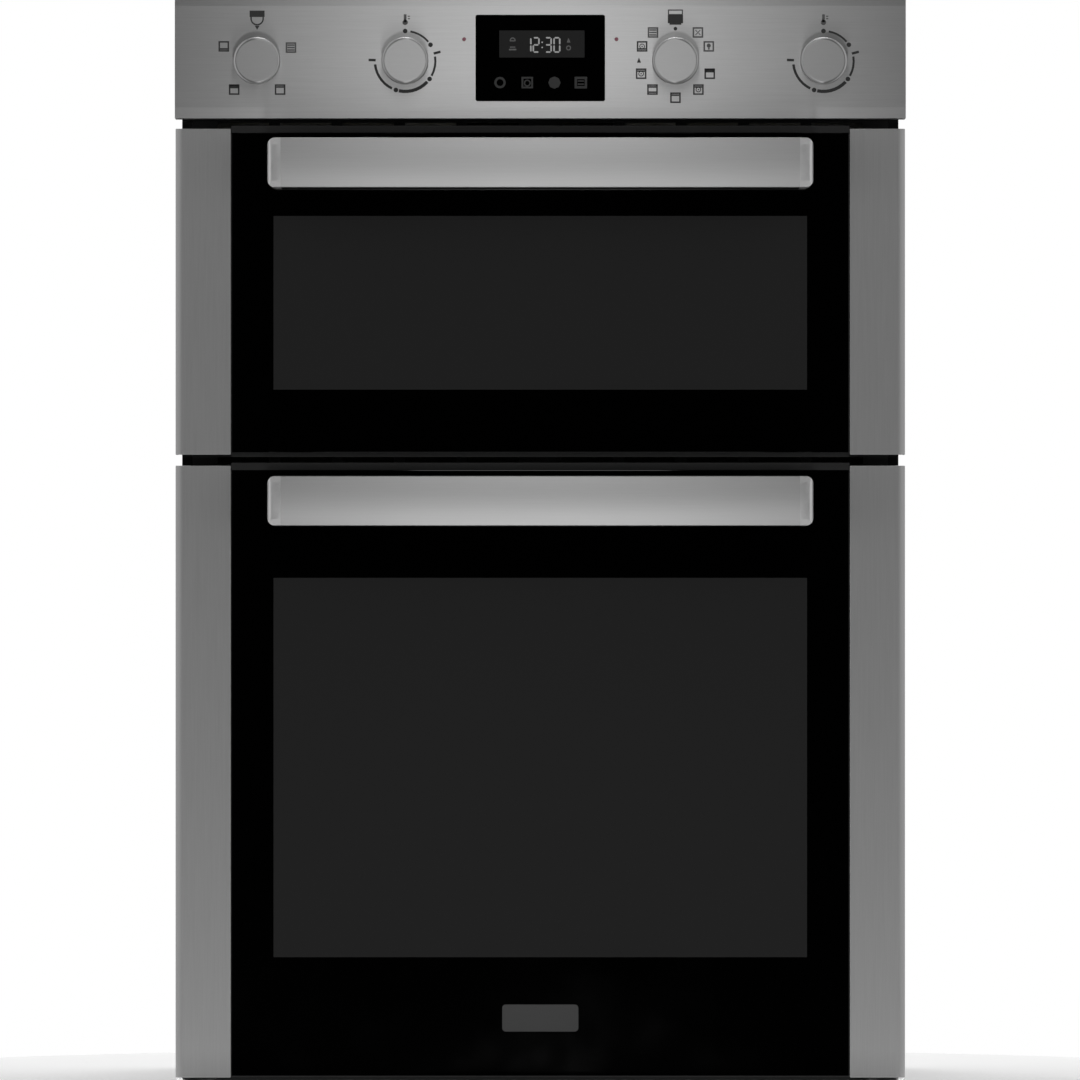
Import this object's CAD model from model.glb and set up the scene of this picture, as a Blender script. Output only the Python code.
import math

import bmesh
import bpy
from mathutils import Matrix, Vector


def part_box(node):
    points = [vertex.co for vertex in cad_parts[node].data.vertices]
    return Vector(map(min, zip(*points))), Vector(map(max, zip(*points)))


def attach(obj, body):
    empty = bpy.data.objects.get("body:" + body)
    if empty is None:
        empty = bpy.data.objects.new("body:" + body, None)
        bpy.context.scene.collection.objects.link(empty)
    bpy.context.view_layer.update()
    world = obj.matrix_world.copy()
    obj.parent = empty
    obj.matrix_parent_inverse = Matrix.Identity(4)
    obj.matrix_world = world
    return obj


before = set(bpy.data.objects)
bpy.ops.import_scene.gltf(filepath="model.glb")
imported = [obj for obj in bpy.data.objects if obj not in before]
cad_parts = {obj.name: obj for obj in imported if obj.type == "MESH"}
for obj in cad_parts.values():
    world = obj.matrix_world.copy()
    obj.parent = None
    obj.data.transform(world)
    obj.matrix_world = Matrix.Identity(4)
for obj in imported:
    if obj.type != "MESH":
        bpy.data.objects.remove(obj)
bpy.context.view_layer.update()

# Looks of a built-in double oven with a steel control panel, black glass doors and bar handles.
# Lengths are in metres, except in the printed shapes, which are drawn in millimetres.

MM = 0.001
PRINT_LIFT = 0.05 * MM


# ---------- places, all worked out from the frame ----------

PANEL_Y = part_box("control_panel")[0][1]
KNOBS = {
    name: [(low + high) / 2 for low, high in zip(*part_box(name))]
    for name in ("upper_function_knob", "upper_heat_knob", "main_function_knob", "main_heat_knob")
}
DISPLAY_LOW, DISPLAY_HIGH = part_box("display_glass")
DOORS = ("upper_door", "lower_door")

# The see-through window in each door's black print: half its width, and how far it stays from the glass's
# bottom and top edges
WINDOW_HALF = 0.21715
WINDOW_EDGES = {"upper_door": (0.0510, 0.0676), "lower_door": (0.0970, 0.0877)}


def window_of(door):
    """Half width, low and high edge of a door's window."""
    low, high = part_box(door + "_glass")
    bottom, top = WINDOW_EDGES[door]
    return WINDOW_HALF, low[2] + bottom, high[2] - top


# ---------- materials ----------

class Look:
    """A Principled material, with short calls for the patterns that vary it."""

    def __init__(self, name, **sockets):
        self.material = bpy.data.materials.new(name)
        self.material.use_nodes = True
        self.tree = self.material.node_tree
        self.shader = self.tree.nodes["Principled BSDF"]
        for socket, value in sockets.items():
            self.shader.inputs[socket.replace("_", " ")].default_value = value
        self.coordinates = None

    def node(self, kind, inputs=None, **settings):
        node = self.tree.nodes.new("ShaderNode" + kind)
        for key, value in settings.items():
            setattr(node, key, value)
        for key, value in (inputs or {}).items():
            if isinstance(value, bpy.types.NodeSocket):
                self.tree.links.new(value, node.inputs[key])
            else:
                node.inputs[key].default_value = value
        return node

    def drive(self, socket, output):
        self.tree.links.new(output, self.shader.inputs[socket])

    def place(self, stretch=(1, 1, 1)):
        """The piece's own coordinates in metres, stretched."""
        if self.coordinates is None:
            self.coordinates = self.node("TexCoord").outputs["Object"]
        return self.node("Mapping", {"Vector": self.coordinates, "Scale": stretch}).outputs["Vector"]

    def noise(self, scale, stretch=(1, 1, 1), detail=3.0, roughness=0.55):
        inputs = {"Vector": self.place(stretch), "Scale": scale, "Detail": detail, "Roughness": roughness}
        return self.node("TexNoise", inputs).outputs["Fac"]

    def cells(self, scale, feature="F1", output="Distance", stretch=(1, 1, 1)):
        node = self.node("TexVoronoi", {"Vector": self.place(stretch), "Scale": scale}, feature=feature)
        return node.outputs[output]

    def blend(self, value, low, high, start=0.0, end=1.0):
        """A number that goes from low to high as value goes from start to end."""
        inputs = {"Value": value, "From Min": start, "From Max": end, "To Min": low, "To Max": high}
        return self.node("MapRange", inputs).outputs["Result"]

    def ramp(self, value, stops):
        node = self.node("ValToRGB", {"Fac": value})
        elements = node.color_ramp.elements
        while len(elements) < len(stops):
            elements.new(0.5)
        for element, (position, shade) in zip(elements, stops):
            element.position = position
            element.color = (*shade, 1) if isinstance(shade, tuple) else (shade, shade, shade, 1)
        return node.outputs["Color"]

    def maths(self, operation, a, b):
        return self.node("Math", {0: a, 1: b}, operation=operation).outputs[0]

    def bump(self, height, distance, strength=1.0):
        inputs = {"Height": height, "Distance": distance, "Strength": strength}
        self.drive("Normal", self.node("Bump", inputs).outputs["Normal"])

    def inside(self, window):
        """One inside an upright rectangle on the middle line, nought outside it."""
        half, low, high = window
        axes = self.node("SeparateXYZ", {"Vector": self.place()}).outputs
        across = self.maths("LESS_THAN", self.maths("ABSOLUTE", axes["X"], 0.0), half)
        above = self.maths("GREATER_THAN", axes["Z"], low)
        below = self.maths("LESS_THAN", axes["Z"], high)
        return self.maths("MULTIPLY", across, self.maths("MULTIPLY", above, below))

    def grain_across(self, direction):
        """Turns a brushed highlight so that it spreads along this direction."""
        x, y, z = direction
        self.drive("Tangent", self.node("CombineXYZ", {"X": x, "Y": y, "Z": z}).outputs["Vector"])


def grey(level):
    return (level, level, level, 1)


def brushed_steel(name, level, roughness, spread, stretch, streak=0.05, stretched=0.9):
    """Steel brushed in one direction: fine streaks, a stretched highlight and a thin clear coat.

    spread is the direction that the highlight spreads in, stretch draws the streaks out, streak is how much
    they differ in tone, and stretched is how much longer than wide the highlight is."""
    look = Look(name, Metallic=1.0, Anisotropic=stretched, Coat_Weight=0.12, Coat_Roughness=0.25)
    streaks = look.noise(900, stretch, detail=4, roughness=0.7)
    patches = look.noise(5, detail=2)
    look.drive("Base Color", look.ramp(look.blend(streaks, 0.42, 0.58, 0.3, 0.7), (
        (0.40, level * (1 - streak)), (0.60, level * (1 + streak)))))
    worn = look.maths("ADD", look.blend(streaks, -0.03, 0.03), look.blend(patches, -0.015, 0.015))
    look.drive("Roughness", look.maths("ADD", worn, roughness))
    look.bump(streaks, 0.004 * MM, 0.4)
    look.grain_across(spread)
    return look.material


def black_glass(name, window=None):
    """Back-printed black glass. window is the lighter see-through rectangle: half width, low z, high z."""
    look = Look(name, IOR=1.5)
    waves = look.noise(3, detail=1)
    smudges = look.noise(14, detail=5, roughness=0.6)
    printed, clear = 0.0006, 0.036
    if window:
        look.drive("Base Color", look.ramp(look.inside(window), ((0.0, printed), (1.0, clear))))
    else:
        look.drive("Base Color", look.ramp(smudges, ((0.3, printed), (0.8, printed * 1.6))))
    look.drive("Roughness", look.blend(smudges, 0.03, 0.055, 0.45, 0.75))
    look.bump(waves, 0.04 * MM, 0.2)
    return look.material


def satin_plastic(name, level, roughness=0.42):
    """Moulded plastic with a fine spark-eroded texture."""
    look = Look(name)
    grain = look.noise(2600, detail=2)
    tone = look.noise(9, detail=2)
    look.drive("Base Color", look.ramp(tone, ((0.3, level * 0.85), (0.7, level * 1.15))))
    look.drive("Roughness", look.blend(grain, roughness - 0.06, roughness + 0.08))
    look.bump(grain, 0.02 * MM, 0.5)
    return look.material


def black_enamel(name, level, specks=False):
    """Fired enamel: a glossy skin with an orange-peel ripple. specks adds pale flecks."""
    look = Look(name, Coat_Weight=0.5, Coat_Roughness=0.08)
    peel = look.noise(260, detail=2)
    tone = look.noise(6, detail=3)
    if specks:
        per_metre, size, share_without = 1400, 0.22, 0.72
        centres = look.maths("LESS_THAN", look.cells(per_metre), size)
        rare = look.maths("GREATER_THAN", look.cells(per_metre, output="Color"), share_without)
        fleck = look.maths("MULTIPLY", centres, rare)
        look.drive("Base Color", look.ramp(fleck, ((0.0, (level, level, level * 1.15)), (1.0, level * 7))))
    else:
        look.drive("Base Color", look.ramp(tone, ((0.3, level * 0.8), (0.7, level * 1.2))))
    look.drive("Roughness", look.blend(tone, 0.2, 0.3))
    look.bump(peel, 0.03 * MM, 0.35)
    return look.material


def galvanised(name):
    """Zinc-coated sheet: crystal spangles that differ in tone and gloss."""
    look = Look(name, Metallic=0.85)
    spangle = look.cells(70, output="Color")
    cloud = look.noise(3, detail=4)
    tone = look.maths("ADD", look.blend(spangle, -0.07, 0.07), look.blend(cloud, 0.44, 0.56))
    look.drive("Base Color", look.ramp(tone, ((0.3, 0.40), (0.7, 0.62))))
    look.drive("Roughness", look.blend(spangle, 0.38, 0.55))
    look.bump(look.noise(400, detail=2), 0.01 * MM, 0.3)
    return look.material


def plated(name, level, roughness):
    """Bright plated steel with faint handling marks."""
    look = Look(name, Metallic=1.0)
    marks = look.noise(60, detail=5, roughness=0.7)
    look.drive("Base Color", look.ramp(marks, ((0.25, level * 0.88), (0.7, level))))
    look.drive("Roughness", look.blend(marks, roughness, roughness + 0.12, 0.4, 0.8))
    return look.material


def hot_metal(name):
    """Heating tube that has been red hot: dark, mottled oxide."""
    look = Look(name, Metallic=0.7)
    oxide = look.noise(120, detail=6, roughness=0.65)
    look.drive("Base Color", look.ramp(oxide, ((0.3, (0.035, 0.03, 0.03)), (0.7, (0.12, 0.10, 0.09)))))
    look.drive("Roughness", look.blend(oxide, 0.45, 0.7))
    look.bump(oxide, 0.05 * MM, 0.5)
    return look.material


def soft_matt(name, dark, light, scale):
    """Silicone, mineral wool or a circuit board: matt, with an even mottle."""
    look = Look(name)
    mottle = look.noise(scale, detail=5, roughness=0.7)
    look.drive("Base Color", look.ramp(mottle, ((0.3, dark), (0.7, light))))
    look.drive("Roughness", look.blend(mottle, 0.65, 0.85))
    look.bump(mottle, 0.2 * MM, 0.5)
    return look.material


def inner_pane(name, window):
    """The pane that faces the oven: clear in the middle, black print round it."""
    look = Look(name, IOR=1.5)
    clear = look.inside(window)
    look.drive("Base Color", look.ramp(clear, ((0.0, 0.004), (1.0, 0.03))))
    look.drive("Alpha", look.blend(clear, 1.0, 0.35))
    look.drive("Roughness", look.blend(look.noise(14, detail=5), 0.03, 0.07, 0.45, 0.75))
    return look.material


def tinted_lens(name, colour, strength):
    """A small moulded lens that glows a little."""
    look = Look(name, Roughness=0.2, Emission_Strength=strength)
    swirl = look.noise(900, detail=1)
    look.drive("Base Color", look.ramp(swirl, ((0.3, colour), (0.7, tuple(c * 1.2 for c in colour)))))
    look.drive("Emission Color", look.ramp(swirl, ((0.3, colour), (0.7, tuple(c * 1.1 for c in colour)))))
    return look.material


def ink(name, level):
    """Screen-printed ink: matt, with uneven cover."""
    look = Look(name, Roughness=0.6)
    cover = look.noise(1500, detail=3)
    look.drive("Base Color", look.ramp(cover, ((0.3, level * 0.85), (0.7, level * 1.15))))
    return look.material


def dress(material, *nodes):
    """Gives CAD nodes this material."""
    for name in nodes:
        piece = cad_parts[name]
        piece.data.materials.clear()
        piece.data.materials.append(material)


SHARP_ANGLE = math.radians(40)


def soften(width, *nodes):
    """Breaks the sharp edges of CAD nodes, as a press tool or a polisher does."""
    for name in nodes:
        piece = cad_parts[name]
        weld = piece.modifiers.new("weld", "WELD")
        weld.merge_threshold = 0.01 * MM
        bevel = piece.modifiers.new("edge", "BEVEL")
        bevel.width = width
        bevel.segments = 2
        bevel.limit_method = "ANGLE"
        bevel.angle_limit = SHARP_ANGLE
        bevel.harden_normals = False
        normals = piece.modifiers.new("normals", "WEIGHTED_NORMAL")
        normals.keep_sharp = True


# ---------- flat printed shapes ----------

class Print:
    """Flat shapes on a plane that faces -Y, joined in one thin piece.

    Sizes are in millimetres from a centre, which is in metres."""

    def __init__(self, name, y, body, material, slot, thickness=0.06 * MM):
        self.name, self.y, self.body = name, y, body
        self.material, self.slot, self.thickness = material, slot, thickness
        self.mesh = bmesh.new()
        self.centre = (0.0, 0.0)

    def at(self, x, z):
        """Moves the centre: x and z are in metres."""
        self.centre = (x, z)
        return self

    def face(self, points):
        cx, cz = self.centre
        corners = [self.mesh.verts.new((cx + x * MM, self.y, cz + z * MM)) for x, z in points]
        self.mesh.faces.new(corners)

    def bar(self, x, z, w, h):
        left, right = x - w / 2, x + w / 2
        low, high = z - h / 2, z + h / 2
        self.face([(left, low), (right, low), (right, high), (left, high)])

    def stroke(self, a, b, w):
        """A straight line of width w from a to b."""
        dx, dz = b[0] - a[0], b[1] - a[1]
        length = math.hypot(dx, dz)
        nx, nz = -dz / length * w / 2, dx / length * w / 2
        near, far = [[(x + side * nx, z + side * nz) for side in (-1, 1)] for x, z in (a, b)]
        self.face([near[0], far[0], far[1], near[1]])

    def disc(self, x, z, r, sides=20):
        self.face([(x + r * math.cos(t), z + r * math.sin(t))
                   for t in (2 * math.pi * i / sides for i in range(sides))])

    def arc(self, x, z, r, w, start=0.0, end=360.0):
        """Part of a ring: the angles are clockwise from the top, as on a dial."""
        degrees_a_step, fewest_steps = 8, 4
        steps = max(fewest_steps, int(abs(end - start) / degrees_a_step))
        angles = [math.radians(start + (end - start) * i / steps) for i in range(steps + 1)]
        for a, b in zip(angles, angles[1:]):
            self.face([(x + q * math.sin(t), z + q * math.cos(t))
                       for t, q in ((a, r - w / 2), (a, r + w / 2), (b, r + w / 2), (b, r - w / 2))])

    def outline(self, x, z, w, h, line):
        """A rectangle's outline, drawn inside its size."""
        self.bar(x, z + h / 2 - line / 2, w, line)
        self.bar(x, z - h / 2 + line / 2, w, line)
        for side in (-1, 1):
            self.bar(x + side * (w / 2 - line / 2), z, line, h - 2 * line)

    def finish(self):
        bmesh.ops.remove_doubles(self.mesh, verts=self.mesh.verts, dist=1e-7)
        bmesh.ops.recalc_face_normals(self.mesh, faces=self.mesh.faces)
        flipped = [f for f in self.mesh.faces if f.normal.y > 0]
        bmesh.ops.reverse_faces(self.mesh, faces=flipped)
        data = bpy.data.meshes.new(self.name)
        self.mesh.to_mesh(data)
        self.mesh.free()
        data.materials.append(self.material)
        piece = bpy.data.objects.new(self.name, data)
        bpy.context.scene.collection.objects.link(piece)
        solid = piece.modifiers.new("thickness", "SOLIDIFY")
        solid.thickness = self.thickness
        solid.offset = -1
        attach(piece, self.body)
        return piece


def on_dial(angle, radius):
    """A place on a dial, clockwise from the top."""
    return radius * math.sin(math.radians(angle)), radius * math.cos(math.radians(angle))


# ---------- symbols round the knobs ----------

ICON_SIZE = 8.6
ICON_LINE = 1.25
ICON_RING = 29.7
SCALE_RING = 24.6
SCALE_LINE = 1.6


def oven_icon(sheet, x, z, marks):
    """A square oven outline with the marks of one function. Each letter of marks adds one: t or T heat from
    above, b heat from below, f the fan, c a cross, l the lamp, h the grill's bars."""
    half = ICON_SIZE / 2
    sheet.outline(x, z, ICON_SIZE, ICON_SIZE, ICON_LINE)
    if "t" in marks:
        sheet.bar(x, z + half - 2.2, ICON_SIZE - 2.6, 1.3)
    if "T" in marks:
        sheet.bar(x, z + half - 2.0, ICON_SIZE - 1.4, 2.6)
    if "b" in marks:
        sheet.bar(x, z - half + 2.2, ICON_SIZE - 2.6, 1.3)
    if "f" in marks:
        sheet.arc(x, z, 1.9, 0.7)
        sheet.disc(x, z, 0.6, 12)
    if "c" in marks:
        sheet.stroke((x - 2, z - 2), (x + 2, z + 2), 0.7)
        sheet.stroke((x - 2, z + 2), (x - 0.5, z + 0.5), 0.7)
        sheet.stroke((x + 0.5, z - 0.5), (x + 2, z - 2), 0.7)
    if "l" in marks:
        sheet.disc(x, z + 0.6, 1.7, 16)
        sheet.bar(x, z - 1.9, 1.4, 1.4)
    if "h" in marks:
        for k in range(-1, 2):
            sheet.bar(x, z + 2 * k, ICON_SIZE - 2.8, 1.2)


def function_icons(knob, marks_by_place):
    """Oven icons on a ring round a knob, each at its angle and on its own sheet."""
    x, _, z = KNOBS[knob]
    for angle, marks, sheet in marks_by_place:
        sheet.at(x, z)
        oven_icon(sheet, *on_dial(angle, ICON_RING), marks)


def small_top_oven(sheet):
    """The sign above the first knob: a filled top oven, a round-bottomed outline and a pointer down."""
    x, _, z = KNOBS["upper_function_knob"]
    round_r, line = 4.9, 1.2
    sheet.at(x, z)
    sheet.bar(0, 38.6, 12.2, 5.2)
    sheet.arc(0, 34.6, round_r, line, 90, 270)
    for side in (-1, 1):
        sheet.bar(side * round_r, 35.3, line, 1.4)
    sheet.face([(-2.0, 28.9), (0, 25.6), (2.0, 28.9)])


def small_main_oven(sheet):
    """The sign above the third knob, a filled main oven under an outline and over a dot, and an arrow."""
    x, _, z = KNOBS["main_function_knob"]
    arrow_x = on_dial(-89, ICON_RING)[0]
    sheet.at(x, z)
    sheet.outline(0, 39.8, 12.2, 4.6, 0.9)
    sheet.bar(0, 34.2, 12.4, 6.6)
    sheet.bar(0, 30.3, 9.6, 1.2)
    sheet.disc(0, 26.5, 1.5, 16)
    sheet.face([(arrow_x - 1.7, -1.2), (arrow_x + 1.7, -1.2), (arrow_x, 3.0)])


def temperature_scale(knob, dark, pale):
    """A ring that grows heavier with the heat, with dots and two end marks, and a thermometer above it."""
    x, _, z = KNOBS[knob]
    dark.at(x, z)
    for start, end, weight in ((10, 50, 1.0), (81, 119, 1.1), (133, 192, 1.7), (206, 264, 1.3)):
        dark.arc(0, 0, SCALE_RING, SCALE_LINE * weight, start, end)
    for angle in (0, 57, 126, 198):
        dark.disc(*on_dial(angle, SCALE_RING), 1.9, 16)
    for angle in (75, 272):
        dark.stroke(on_dial(angle, SCALE_RING - 0.6), on_dial(angle, SCALE_RING + 5.2), 2.0)
    pale.at(x, z)
    pale.bar(0, 35.0, 2.2, 6.4)
    pale.disc(0, 31.6, 2.2, 16)
    for tick_z in (36.6, 34.6):
        pale.bar(3.0, tick_z, 1.8, 0.9)


def knob_symbols():
    y = PANEL_Y - PRINT_LIFT
    dark = Print("panel_symbols", y, "chassis", ink("symbol_ink", 0.045), "black_plastic")
    pale = Print("panel_symbols_pale", y, "chassis", ink("pale_symbol_ink", 0.14), "black_plastic")
    function_icons("upper_function_knob", (
        (68, "h", pale), (141, "t", dark), (-141, "T", dark), (-66, "b", dark)))
    function_icons("main_function_knob", (
        (38, "c", pale), (66, "l", pale), (110, "T", dark), (141, "tf", dark), (180, "t", dark),
        (-141, "tb", dark), (-110, "tf", dark), (-66, "fb", dark), (-38, "h", pale)))
    small_top_oven(dark)
    small_main_oven(dark)
    for knob in ("upper_heat_knob", "main_heat_knob"):
        temperature_scale(knob, dark, pale)
    dark.finish()
    pale.finish()


# ---------- display ----------

# The thickness of the display's prints, which is also how far the window's tint stands off the glass
DISPLAY_FILM = 0.02 * MM

# The ends of each bar of a seven-segment figure, as shares of its width and height
SEGMENTS = {
    "a": ((0, 1), (1, 1)), "b": ((1, 1), (1, 0.5)), "c": ((1, 0.5), (1, 0)), "d": ((0, 0), (1, 0)),
    "e": ((0, 0.5), (0, 0)), "f": ((0, 1), (0, 0.5)), "g": ((0, 0.5), (1, 0.5)),
}
LIT = {"1": "bc", "2": "abged", "3": "abgcd", "0": "abcdef"}


def segment_digit(sheet, digit, left, base, width, height, line):
    """One seven-segment figure made of pointed bars, with small gaps between them."""
    for key in LIT[digit]:
        (x0, z0), (x1, z1) = ((left + x * width, base + z * height) for x, z in SEGMENTS[key])
        length = math.hypot(x1 - x0, z1 - z0)
        ux, uz = (x1 - x0) / length, (z1 - z0) / length
        gap, tip = 0.25, line / 2
        points = ((gap, 0), (gap + tip, tip), (length - gap - tip, tip), (length - gap, 0),
                  (length - gap - tip, -tip), (gap + tip, -tip))
        sheet.face([(x0 + ux * s - uz * t, z0 + uz * s + ux * t) for s, t in points])


def display_sheet(name, material, slot, lift=PRINT_LIFT):
    """An empty sheet just in front of the display glass."""
    return Print(name, DISPLAY_LOW[1] - lift, "chassis", material, slot, DISPLAY_FILM)


def display_window(z_mid):
    """The grey window behind the clock."""
    sheet = display_sheet("display_window", ink("window_tint", 0.0055), "black_glass", lift=DISPLAY_FILM)
    sheet.at(0.0013, z_mid + 0.0114).bar(0, 0, 69.4, 22)
    sheet.finish()


def clock_digits(z_mid):
    sheet = display_sheet("clock_digits", tinted_lens("digit_glow", (0.19, 0.19, 0.19), 1.0), "lamp_red")
    sheet.at(0.0023, z_mid + 0.0042)
    base, width, height, line = 0.7, 4.6, 11.6, 1.25
    for digit, left in zip("1230", (-14.6, -8.0, 1.9, 8.9)):
        segment_digit(sheet, digit, left, base, width, height, line)
    for z in (4.4, 8.6):
        sheet.disc(-0.75, z, 0.65, 12)
    sheet.finish()


def clock_icons(z_mid):
    """Two small signs left of the clock and two right of it."""
    sheet = display_sheet("clock_icons", tinted_lens("icon_glow", (0.05, 0.05, 0.05), 1.0), "lamp_red")
    sheet.at(0, z_mid + 0.0108)
    left, right, line = -22.5, 23.0, 0.9
    sheet.arc(left, 3.6, 1.9, line, -90, 90)
    sheet.bar(left, 3.2, 4.8, line)
    sheet.bar(left, -3.9, 6.0, 1.3)
    sheet.bar(left, -1.9, 4.4, line)
    sheet.face([(right - 1.6, 1.8), (right + 1.6, 1.8), (right, 5.6)])
    sheet.arc(right, -2.6, 1.6, line)
    sheet.finish()


def touch_icons(z_mid):
    """The row of four touch keys under the clock."""
    sheet = display_sheet("touch_icons", ink("touch_ink", 0.05), "black_plastic")
    sheet.at(0, z_mid - 0.020)
    ring_x, pot_x, disc_x, list_x = -32.8, -10.6, 11.5, 33.0
    sheet.arc(ring_x, 0, 3.7, 1.9)
    sheet.outline(pot_x, 0, 9.4, 9.4, 1.5)
    sheet.arc(pot_x, -0.4, 2.3, 1.1)
    sheet.disc(disc_x, 0, 5.0, 8)
    sheet.outline(list_x, 0, 10.2, 9.6, 2.0)
    for side in (-1, 1):
        sheet.bar(list_x, 1.3 * side, 5.2, 1.1)
    sheet.finish()


def display_prints():
    z_mid = (DISPLAY_LOW[2] + DISPLAY_HIGH[2]) / 2
    for draw in (display_window, clock_digits, clock_icons, touch_icons):
        draw(z_mid)


# ---------- camera, light and floor ----------

# How much of the panel's plane the picture shows, its middle in x and z, and the camera's distance from it
VIEW_HEIGHT = 0.87907
VIEW_CENTRE = (-0.00024, 0.4477)
CAMERA_DISTANCE = 12.0
SENSOR = 36.0


def add_camera():
    """A long lens straight in front, so that the view is nearly without perspective."""
    data = bpy.data.cameras.new("camera")
    data.sensor_width = SENSOR
    data.lens = SENSOR * CAMERA_DISTANCE / VIEW_HEIGHT
    data.clip_end = 200.0
    camera = bpy.data.objects.new("camera", data)
    camera.location = (VIEW_CENTRE[0], PANEL_Y - CAMERA_DISTANCE, VIEW_CENTRE[1])
    camera.rotation_euler = (math.radians(90), 0, 0)
    bpy.context.scene.collection.objects.link(camera)
    bpy.context.scene.camera = camera


def add_light(name, place, target, width, height, power):
    data = bpy.data.lights.new(name, "AREA")
    data.shape = "RECTANGLE"
    data.size, data.size_y = width, height
    data.energy = power
    light = bpy.data.objects.new(name, data)
    light.location = place
    direction = Vector(target) - Vector(place)
    light.rotation_euler = direction.to_track_quat("-Z", "Y").to_euler()
    bpy.context.scene.collection.objects.link(light)


def add_world():
    """White to the camera; to everything else a dark studio with bright side walls and a faint ceiling."""
    world = bpy.data.worlds.new("studio")
    bpy.context.scene.world = world
    world.use_nodes = True
    world.node_tree.nodes.clear()
    links = world.node_tree.links

    def node(kind, **values):
        made = world.node_tree.nodes.new("ShaderNode" + kind)
        for key, value in values.items():
            made.inputs[key.replace("_", " ")].default_value = value
        return made

    def rising(value, start, end, low, high):
        made = node("MapRange", From_Min=start, From_Max=end, To_Min=low, To_Max=high)
        made.interpolation_type = "SMOOTHSTEP"
        links.new(value, made.inputs["Value"])
        return made.outputs["Result"]

    axes = node("SeparateXYZ")
    links.new(node("TexCoord").outputs["Generated"], axes.inputs["Vector"])
    aside = node("Math")
    aside.operation = "ABSOLUTE"
    links.new(axes.outputs["X"], aside.inputs[0])
    ceiling = rising(axes.outputs["Z"], 0.12, 0.75, 0.0, 0.06)
    walls = rising(aside.outputs[0], 0.2, 0.65, 0.0, 0.69)
    total = node("Math")
    total.operation = "ADD"
    links.new(ceiling, total.inputs[0])
    links.new(walls, total.inputs[1])

    white = node("Background", Color=grey(1.0), Strength=1.0)
    studio = node("Background")
    links.new(total.outputs[0], studio.inputs["Strength"])
    mix = node("MixShader")
    links.new(node("LightPath").outputs["Is Camera Ray"], mix.inputs["Fac"])
    links.new(studio.outputs["Background"], mix.inputs[1])
    links.new(white.outputs["Background"], mix.inputs[2])
    links.new(mix.outputs["Shader"], node("OutputWorld").inputs["Surface"])


def add_floor():
    """A round, pale, matt floor."""
    radius, sides, middle_y, below_base = 0.62, 96, 0.1, 0.6 * MM
    mesh = bmesh.new()
    bmesh.ops.create_circle(mesh, cap_ends=True, segments=sides, radius=radius)
    data = bpy.data.meshes.new("floor")
    mesh.to_mesh(data)
    mesh.free()
    floor = bpy.data.objects.new("floor", data)
    floor.location = (0, middle_y, -below_base)
    bpy.context.scene.collection.objects.link(floor)
    look = Look("floor_paint", Roughness=0.8, Emission_Color=grey(1.0), Emission_Strength=0.25)
    look.drive("Base Color", look.ramp(look.noise(4, detail=3), ((0.3, 0.80), (0.7, 0.84))))
    data.materials.append(look.material)


# Name, place, the point it faces, width, height and power. The keys are strips above and below what the
# black doors mirror, on the middle line, so their streaks in the brushed steel are bright in the middle and
# fade to the sides. The far one reaches the panel's lower edge from under the handle. The back and top
# lights are for the floor and the chassis.
LIGHTS = (
    ("key_high", (0.0, -2.1, 1.72), (0.0, -0.26, 0.8), 0.25, 1.5, 2.4),
    ("key_low", (0.0, -2.1, -0.85), (0.0, -0.26, 0.5), 0.25, 1.4, 3.1),
    ("low_far", (0.0, -5.0, -0.5), (0.0, -0.26, 0.5), 0.3, 0.5, 6.2),
    ("back", (0.0, 1.9, 3.4), (0.0, 0.3, 0.3), 2.0, 1.4, 36.0),
    ("top", (0.0, 0.9, 3.2), (0.0, 0.2, 0.5), 1.6, 1.6, 34.0),
)


def add_lights():
    for light in LIGHTS:
        add_light(*light)


# ---------- dressing the CAD nodes ----------

ACROSS = (0.0, 0.3, 1.0)
SIDEWAYS = (1.0, 0.3, 0.0)
ALONG_X = (0.02, 1, 1)
ALONG_Z = (1, 1, 0.02)
SHORT_X = (0.05, 1, 1)


def dress_front(plastic):
    """The control panel with its knobs, display and lamps, the bottom trim and the badge."""
    dress(brushed_steel("panel_steel", 0.62, 0.385, ACROSS, ALONG_X, stretched=0.925),
          "control_panel", "bottom_trim")
    dress(black_glass("display_black"), "display_glass")
    dress(brushed_steel("knob_steel", 0.60, 0.42, ACROSS, SHORT_X, 0.03), *KNOBS)
    dress(tinted_lens("neon_lens", (0.30, 0.12, 0.15), 0.1), "indicator_lamps")
    dress(brushed_steel("badge_plate", 0.09, 0.45, ACROSS, SHORT_X), "front_badge")
    dress(plastic, "vent_trims")
    dress(black_enamel("frame_enamel", 0.008), "front_frame")
    soften(0.4 * MM, "display_glass", "front_badge", "bottom_trim")


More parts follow.
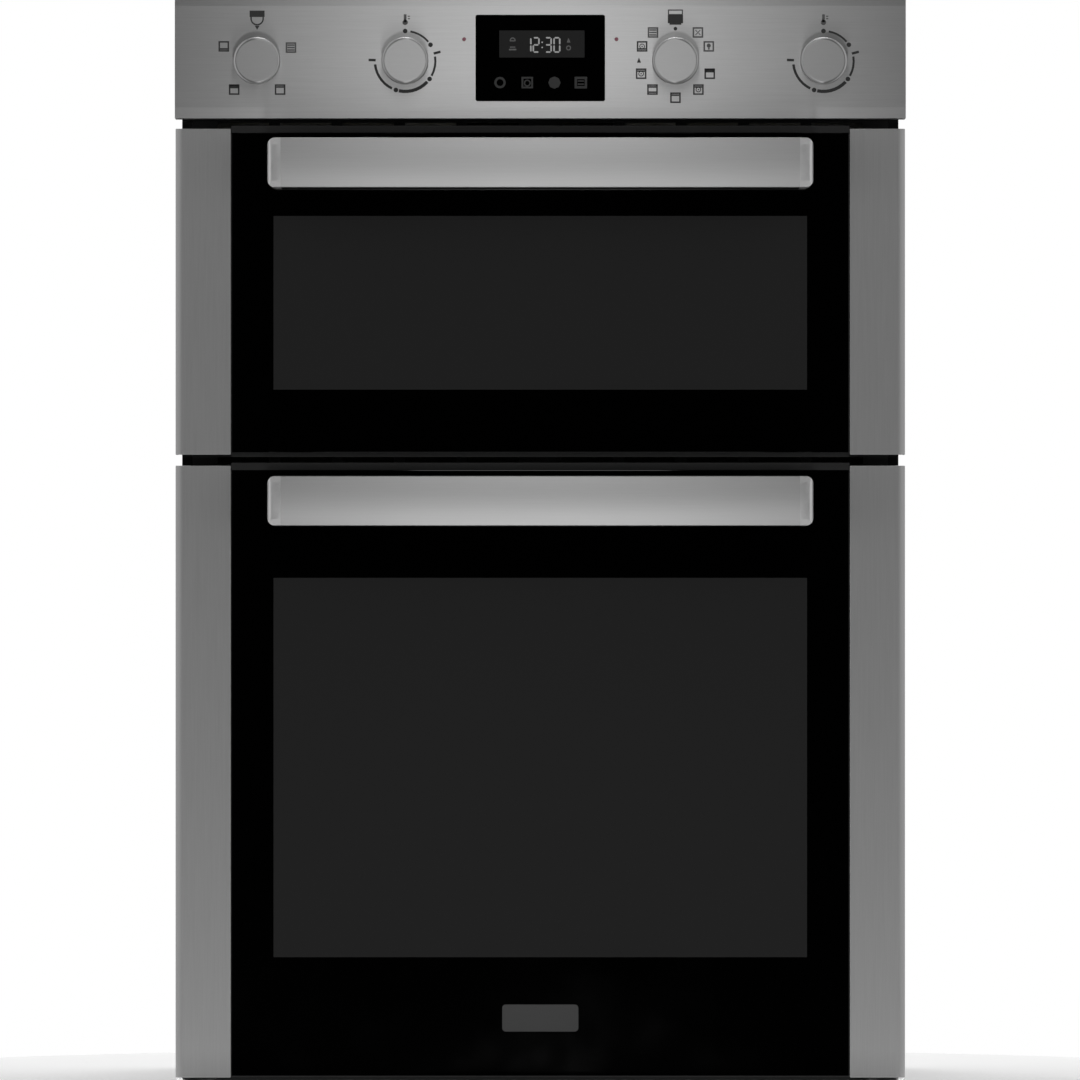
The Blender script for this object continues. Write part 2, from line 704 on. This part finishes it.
def dress_doors(plastic, zinc_plate):
    """Both doors with their handles, panes, trims and hinges."""
    handle_steel = brushed_steel("handle_steel", 0.60, 0.38, ACROSS, ALONG_X, 0.03, 0.76)
    cap_steel = plated("cap_steel", 0.85, 0.42)
    trim_steel = brushed_steel("trim_steel", 0.60, 0.43, SIDEWAYS, ALONG_Z)
    for door in DOORS:
        window = window_of(door)
        dress(handle_steel, door + "_handle")
        dress(cap_steel, door + "_handle_caps")
        dress(trim_steel, door + "_trims")
        dress(black_glass(door + "_black_glass", window), door + "_glass")
        dress(inner_pane(door + "_pane", window), door + "_inner_glass")
        dress(plastic, door + "_top_cap", door + "_bottom_rail")
        dress(zinc_plate, door + "_hinges")
        dress(black_enamel(door + "_enamel", 0.012), door + "_frame")
        soften(0.5 * MM, door + "_glass", door + "_trims", door + "_handle", door + "_handle_caps",
               door + "_top_cap")


def dress_ovens():
    """Both cavities and what is in them."""
    dress(black_enamel("cavity_enamel", 0.016, specks=True),
          "main_cavity", "upper_cavity", "fan_baffle", "roasting_tray")
    dress(plated("bright_wire", 0.75, 0.12), "side_racks", "upper_shelf", "main_shelf")
    dress(hot_metal("oxidised_tube"), "ring_element", "grill_element")
    dress(soft_matt("silicone", (0.02, 0.02, 0.02), (0.035, 0.035, 0.035), 300), "cavity_gaskets")
    dress(tinted_lens("lamp_cover", (0.75, 0.72, 0.62), 0.15), "oven_lamps")
    dress(plated("fan_sheet", 0.6, 0.3), "fan_impeller", "cooling_impeller")


def dress_chassis(plastic, zinc_plate):
    """The sheet-metal box, its insulation, and the controls behind the panel."""
    dress(galvanised("galvanised_sheet"), "base_panel", "left_side_panel", "right_side_panel", "top_cover",
          "rear_panel", "cooling_fan_housing")
    dress(zinc_plate, *(name.replace("_knob", "_shaft") for name in KNOBS))
    dress(zinc_plate, "hinge_arms", "chassis_screws", "fan_motor")
    dress(plastic, "terminal_box", "cable_gland")
    dress(soft_matt("mineral_wool", (0.30, 0.26, 0.15), (0.5, 0.45, 0.28), 160), "insulation")
    dress(soft_matt("circuit_board", (0.01, 0.08, 0.03), (0.02, 0.12, 0.05), 500), "timer_module")
    dress(satin_plastic("switch_body", 0.6), "rotary_switches")


def dress_all():
    plastic = satin_plastic("black_plastic", 0.012)
    zinc_plate = plated("zinc_plate", 0.55, 0.3)
    dress_front(plastic)
    dress_doors(plastic, zinc_plate)
    dress_ovens()
    dress_chassis(plastic, zinc_plate)


# ---------- putting it together ----------

add_camera()
add_world()
add_floor()
add_lights()
dress_all()
knob_symbols()
display_prints()

bpy.context.scene.view_settings.view_transform = "Standard"
